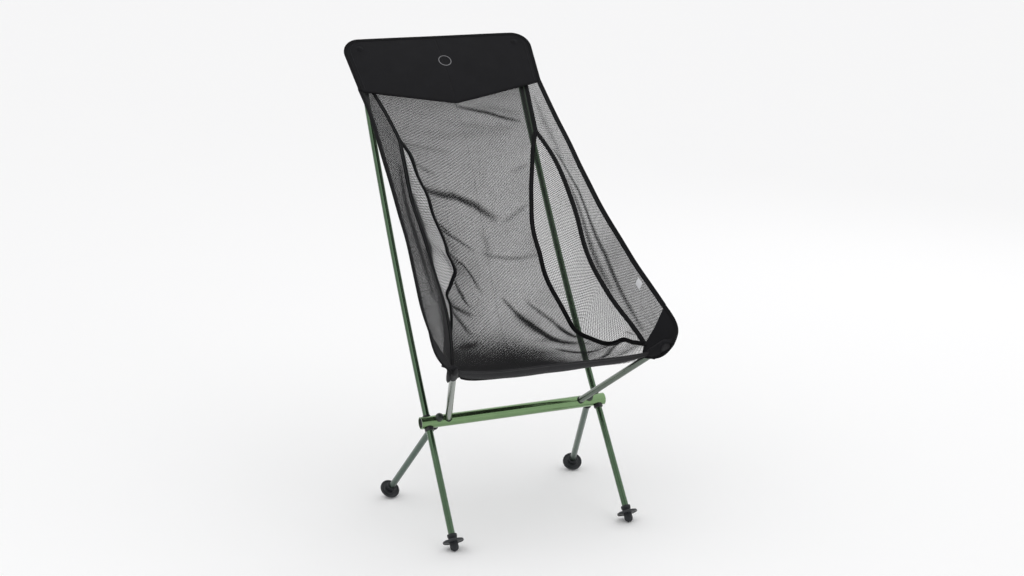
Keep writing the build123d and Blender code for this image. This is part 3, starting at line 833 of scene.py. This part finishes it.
def buildHem(sideName):
    # a ruled band, bulged by half a sine, with a roll along its rim
    side = sides[sideName]
    rear = smoothLine(hemRearLines[sideName], hem["columns"])
    rim = smoothLine(hemRimLines[sideName], hem["columns"])
    w = np.linspace(0, 1, hem["rows"])[:, None, None]
    grid = rear[None] * (1 - w) + rim[None] * w
    grid = grid + np.array([0, -1.0, -0.9]) * hem["belly"] * np.sin(np.pi * w)
    piece = makeSurface("hem_band_" + sideName, flip(place(grid), side), finish["hemCloth"],
                        clothUv(grid) / 1000,
                        turned=side > 0)
    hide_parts("front_hem")
    thicken(piece, hem["wall"])
    pullCorner(piece, sideName)
    rim, rear = evenly(rim, 120), evenly(rear, 120)
    buildTape("hem_roll", rim, rear - rim, *hem["roll"], sideName, cloth=("hemCloth", "hem_cloth"))


corner = {"steps": 30, "wall": 0.0018, "sleeveWall": 0.0005, "clear": 10.4, "middle": (205, -190, 380),
          "binding": (8.0, 3.4), "fall": (1.6, 0, -1.0)}


def coons(backLine, frontLine, nearLine, farLine, steps):
    # a sheet stretched inside four border lines: the two ruled sheets added, less the one through the corners
    c0, c1 = smoothLine(backLine, steps), smoothLine(frontLine, steps)
    d0, d1 = smoothLine(nearLine, steps), smoothLine(farLine, steps)
    a = np.linspace(0, 1, steps)[None, :, None]
    b = np.linspace(0, 1, steps)[:, None, None]
    sheet = (1 - b) * c0[None] + b * c1[None] + (1 - a) * d0[:, None] + a * d1[:, None]
    flat = (1 - a) * (1 - b) * c0[0] + a * (1 - b) * c0[-1] + (1 - a) * b * c1[0] + a * b * c1[-1]
    return sheet - flat


poleTipAxis = {"from": (138.0, 0, 208), "heading": (0.253, -0.770, 0.584), "facing": (-0.853, 0.011, 0.522),
               "openFrom": 236, "openOver": 12, "closeFrom": 293, "closeOver": 11}


def overPole(grid, clear, inside):
    # where cloth runs within "clear" of the pole's axis, it is lifted to a half circle round the pole, which
    # opens and closes along the axis and eases off sideways
    heading = unit(np.array(poleTipAxis["heading"]))
    face = np.array(poleTipAxis["facing"]) * (1 if inside else -1)
    face = unit(face - heading * (face @ heading))
    off = grid - np.array(poleTipAxis["from"])
    t = off @ heading
    q = off - t[..., None] * heading
    b = q @ face
    rest = q - b[..., None] * face
    side = np.linalg.norm(rest, axis=-1)
    opening = np.clip((t - poleTipAxis["openFrom"]) / poleTipAxis["openOver"], 0, 1)
    closing = np.clip((t - poleTipAxis["closeFrom"]) / poleTipAxis["closeOver"], 0, 1)
    reach = clear * np.sqrt(np.clip(1 - closing**2, 0, 1)) * opening
    need = np.sqrt(np.clip(reach**2 - side**2, 0, None))
    ease = np.clip(1.35 - side / np.maximum(reach, 1e-6), 0, 0.35) / 0.35
    lifted = np.maximum(b, need) * ease + b * (1 - ease)
    return grid + (lifted - b)[..., None] * face


poleSleeve = {"at": (261, 261.4, 262.5, 265, 269, 274, 280, 287, 293, 297.5, 300, 301.6, 302.2),
              "radii": (6.9, 7.2, 7.4, 7.8, 8.3, 8.5, 8.5, 8.5, 8.4, 7.8, 6.3, 3.8, 0.5),
              "around": 40, "wide": 1.0, "girth": 9}
topSleeve = {"at": (-0.048, -0.0475, -0.040, -0.028, -0.014, -0.004, 0.001, 0.0035, 0.0045),
             "radii": (0.0072, 0.0074, 0.0075, 0.0075, 0.0075, 0.0073, 0.0062, 0.0038, 0.0005),
             "around": 40, "wide": 1.35, "girth": 0.009, "lean": -0.014, "angle": 26.9}


def sleeveGrid(start, heading, wideWay, sleeve):
    # a ring of each radius at its distance along a straight line, stretched one way by "wide"
    t = np.array(sleeve["at"])
    radius = np.array(sleeve["radii"])
    centre = start + heading * t[:, None]
    narrowWay = np.cross(heading, wideWay)
    angle = np.linspace(0, 2 * np.pi, sleeve["around"], endpoint=False)
    ring = wideWay * np.cos(angle)[:, None] * sleeve["wide"] + narrowWay * np.sin(angle)[:, None]
    grid = centre[:, None] + radius[:, None, None] * ring[None]
    return grid, np.stack(np.broadcast_arrays(t[:, None], (angle * sleeve["girth"])[None]), axis=2)


def buildCorner(sideName):
    # two layers stretched inside the corner's four borders, bound round the rim, with a sleeve between them
    side = sides[sideName]
    cornerFront = cornerFronts[sideName]
    base = coons(cornerBack, cornerFront, cornerInners[sideName], cornerSide, corner["steps"])
    for layer, inside in (("corner_patch_", True), ("corner_back_", False)):
        fall = np.sin(np.pi * np.linspace(0, 1, corner["steps"]))
        skin = overPole(base, corner["clear"], inside)
        grid = skin + (0 if inside else 1) * fall[:, None, None] * fall[None, :,
                None] * np.array(corner["fall"])
        piece = makeSurface(layer + sideName, flip(place(grid), side), finish["headCloth"],
                            clothUv(base) / 1000,
                            turned=(side > 0) == inside)
        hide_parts("front_pocket_" + sideName)
        thicken(piece, corner["wall"])
        pullCorner(piece, sideName)
    rimLine = np.concatenate([smoothLine(cornerSide, 60), smoothLine(cornerFront, 60)[::-1][1:]])
    rim = evenly(rimLine, 90)
    buildTape("corner_binding", rim, np.array(corner["middle"]) - rim, *corner["binding"], sideName)
    # the sleeve that the pole's tip sits in: a flaring mouth, a straight run and a closed round end
    heading = unit(np.array(poleTipAxis["heading"]))
    wideWay = unit(np.cross(heading, np.array(poleTipAxis["facing"])))
    grid, uv = sleeveGrid(np.array(poleTipAxis["from"]), heading, wideWay, poleSleeve)
    # the sleeve takes the lighter hem cloth: partly its own grey, partly a painted highlight for its sheen
    boot = makeSurface("pole_sleeve_" + sideName, flip(place(grid), side), finish["hemCloth"], uv / 1000,
                       closed=True, turned=side < 0)
    thicken(boot, corner["sleeveWall"], 1.0)
    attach(boot, "front_pocket_" + sideName)


def buildTopPocket(sideName):
    # the sleeve over the back pole's tip, in metres from the middle of the tip's upper end
    side = sides[sideName]
    low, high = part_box("back_pole_tip_left")
    tip = np.array([(low.x + high.x) / 2, (low.y + high.y) / 2, high.z])
    angle = math.radians(topSleeve["angle"])
    heading = unit(np.array([topSleeve["lean"], math.sin(angle), math.cos(angle)]))
    wideWay = unit(np.cross(heading, np.array([0.0, 1, 0])))
    grid, uv = sleeveGrid(tip, heading, wideWay, topSleeve)
    pouch = makeSurface("top_sleeve_" + sideName, flip(grid, side), finish["headCloth"], uv, closed=True,
                        turned=side < 0)
    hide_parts("top_pocket_" + sideName)
    thicken(pouch, corner["sleeveWall"], 1.0)
    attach(pouch, "top_pocket_" + sideName)


for sideName in sides:
    buildSeatNet(sideName)
    buildSidePanels(sideName)
    buildTapes(sideName)
    buildHeadrest(sideName)
    buildHem(sideName)
    buildCorner(sideName)
    buildTopPocket(sideName)
buildRingMark()
print("seat sewn")


# label

label = {"steps": 200, "at": 172, "cells": 14, "inset": 11, "length": 14, "half": 8, "off": 2.2, "bulge": 1.2,
         "wall": 0.0006}


def buildLabel():
    # a small sheet that hangs inwards from the edge, bulging as half a sine
    edge = smoothLine(edgeLine, label["steps"])
    seam = smoothLine(outerSeamLine, label["steps"])
    k = label["at"]
    inwards = unit(seam[k] - edge[k])
    along = unit(edge[k + 2] - edge[k - 2])
    out = np.cross(along, inwards)
    a = np.linspace(0, 1, label["cells"])[None, :, None]
    b = np.linspace(-1, 1, label["cells"])[:, None, None]
    grid = edge[k] + inwards * (label["inset"] + label["length"] * a) + along * label["half"] * b
    grid = grid + out * (-label["off"] - label["bulge"] * np.sin(np.pi * a))
    tag = makeSurface("blank_tag", place(grid), finish["labelCloth"], clothUv(grid) / 1000)
    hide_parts("label_tag")
    thicken(tag, label["wall"])
    pullCorner(tag, "left")


buildLabel()


# floor, light, camera

stage = {"floor": (0.97, 0.97, 0.97), "sky": (0.95, 0.95, 0.955), "skyStrength": 1.05,
         "dimSide": (-0.377, -0.891, 0.252), "dimStrength": 0.25,
         "horizon": 0.92, "overhead": 0.16, "reach": 40.0, "drop": 0.0005}
lightList = {
    "keyBox": {"at": (-1.6, -1.4, 2.6), "size": 1.6, "power": 5},
    "rimBox": {"at": (2.2, 1.2, 1.8), "size": 1.2, "power": 4},
}
view = {"azimuth": -22.96, "elevation": 14.62, "distance": 3.25426, "aim": (-3.89, 0, 457.43), "lens": 59.35}


def buildStage():
    # a wide pale floor, a sky that is dimmer round one fixed direction and brighter overhead, and two lamps
    mesh = bpy.data.meshes.new("floor")
    reach, low = stage["reach"], -stage["drop"]
    mesh.from_pydata([(-reach, -reach, low), (reach, -reach, low), (reach, reach, low),
                      (-reach, reach, low)], [], [(0, 1, 2, 3)])
    material, tree, shader = blank("paleFloor")
    spot = add(tree, "ShaderNodeTexCoord").outputs["Object"]
    cloudy = noise(tree, spot, 3.0, 2.0)
    dusty = tuple(0.995 * c for c in stage["floor"])
    paint(tree, shader, cloudy, {"dark": dusty, "light": stage["floor"]})
    fill(shader, {"Roughness": 0.9, "Specular IOR Level": 0.1})
    mesh.materials.append(material)
    floor = bpy.data.objects.new("floor", mesh)
    bpy.context.scene.collection.objects.link(floor)
    world = bpy.data.worlds.new("softSky")
    world.use_nodes = True
    back = world.node_tree.nodes["Background"]
    back.inputs["Color"].default_value = (*stage["sky"], 1)
    way = add(world.node_tree, "ShaderNodeTexCoord").outputs["Generated"]
    facing = add(world.node_tree, "ShaderNodeVectorMath", {0: way, 1: stage["dimSide"]},
                 operation="DOT_PRODUCT")
    level = add(world.node_tree, "ShaderNodeMapRange",
                {"Value": facing.outputs["Value"], "From Min": 0.70, "From Max": 0.96,
                 "To Min": stage["skyStrength"], "To Max": stage["dimStrength"]},
                interpolation_type="SMOOTHSTEP")
    height = add(world.node_tree, "ShaderNodeSeparateXYZ", {"Vector": way}).outputs["Z"]
    rise = sums(world.node_tree, "MULTIPLY_ADD", height, stage["overhead"], stage["horizon"])
    strength = sums(world.node_tree, "MULTIPLY", level.outputs["Result"], rise)
    world.node_tree.links.new(strength, back.inputs["Strength"])
    bpy.context.scene.world = world
    for name, spec in lightList.items():
        lamp = bpy.data.lights.new(name, "AREA")
        lamp.size = spec["size"]
        lamp.energy = spec["power"]
        box = bpy.data.objects.new(name, lamp)
        box.location = spec["at"]
        aim = Vector((0, 0, 0.45)) - Vector(spec["at"])
        box.rotation_euler = aim.to_track_quat("-Z", "Y").to_euler()
        bpy.context.scene.collection.objects.link(box)


def buildCamera():
    # stands back from the aim by the distance, turned by the two angles
    az, el = math.radians(view["azimuth"]), math.radians(view["elevation"])
    aim = Vector(place([view["aim"]])[0])
    right = Vector((math.cos(az), math.sin(az), 0))
    back = Vector((math.sin(az) * math.cos(el), -math.cos(az) * math.cos(el), math.sin(el)))
    up = back.cross(right)
    data = bpy.data.cameras.new("camera")
    data.lens = view["lens"]
    data.sensor_width = 36
    data.clip_end = 100
    camera = bpy.data.objects.new("camera", data)
    turn = Matrix((right, up, back)).transposed().to_4x4()
    camera.matrix_world = Matrix.Translation(aim + back * view["distance"]) @ turn
    bpy.context.scene.collection.objects.link(camera)
    bpy.context.scene.camera = camera


buildStage()
buildCamera()
bpy.context.scene.view_settings.view_transform = "Standard"
print("stage set")
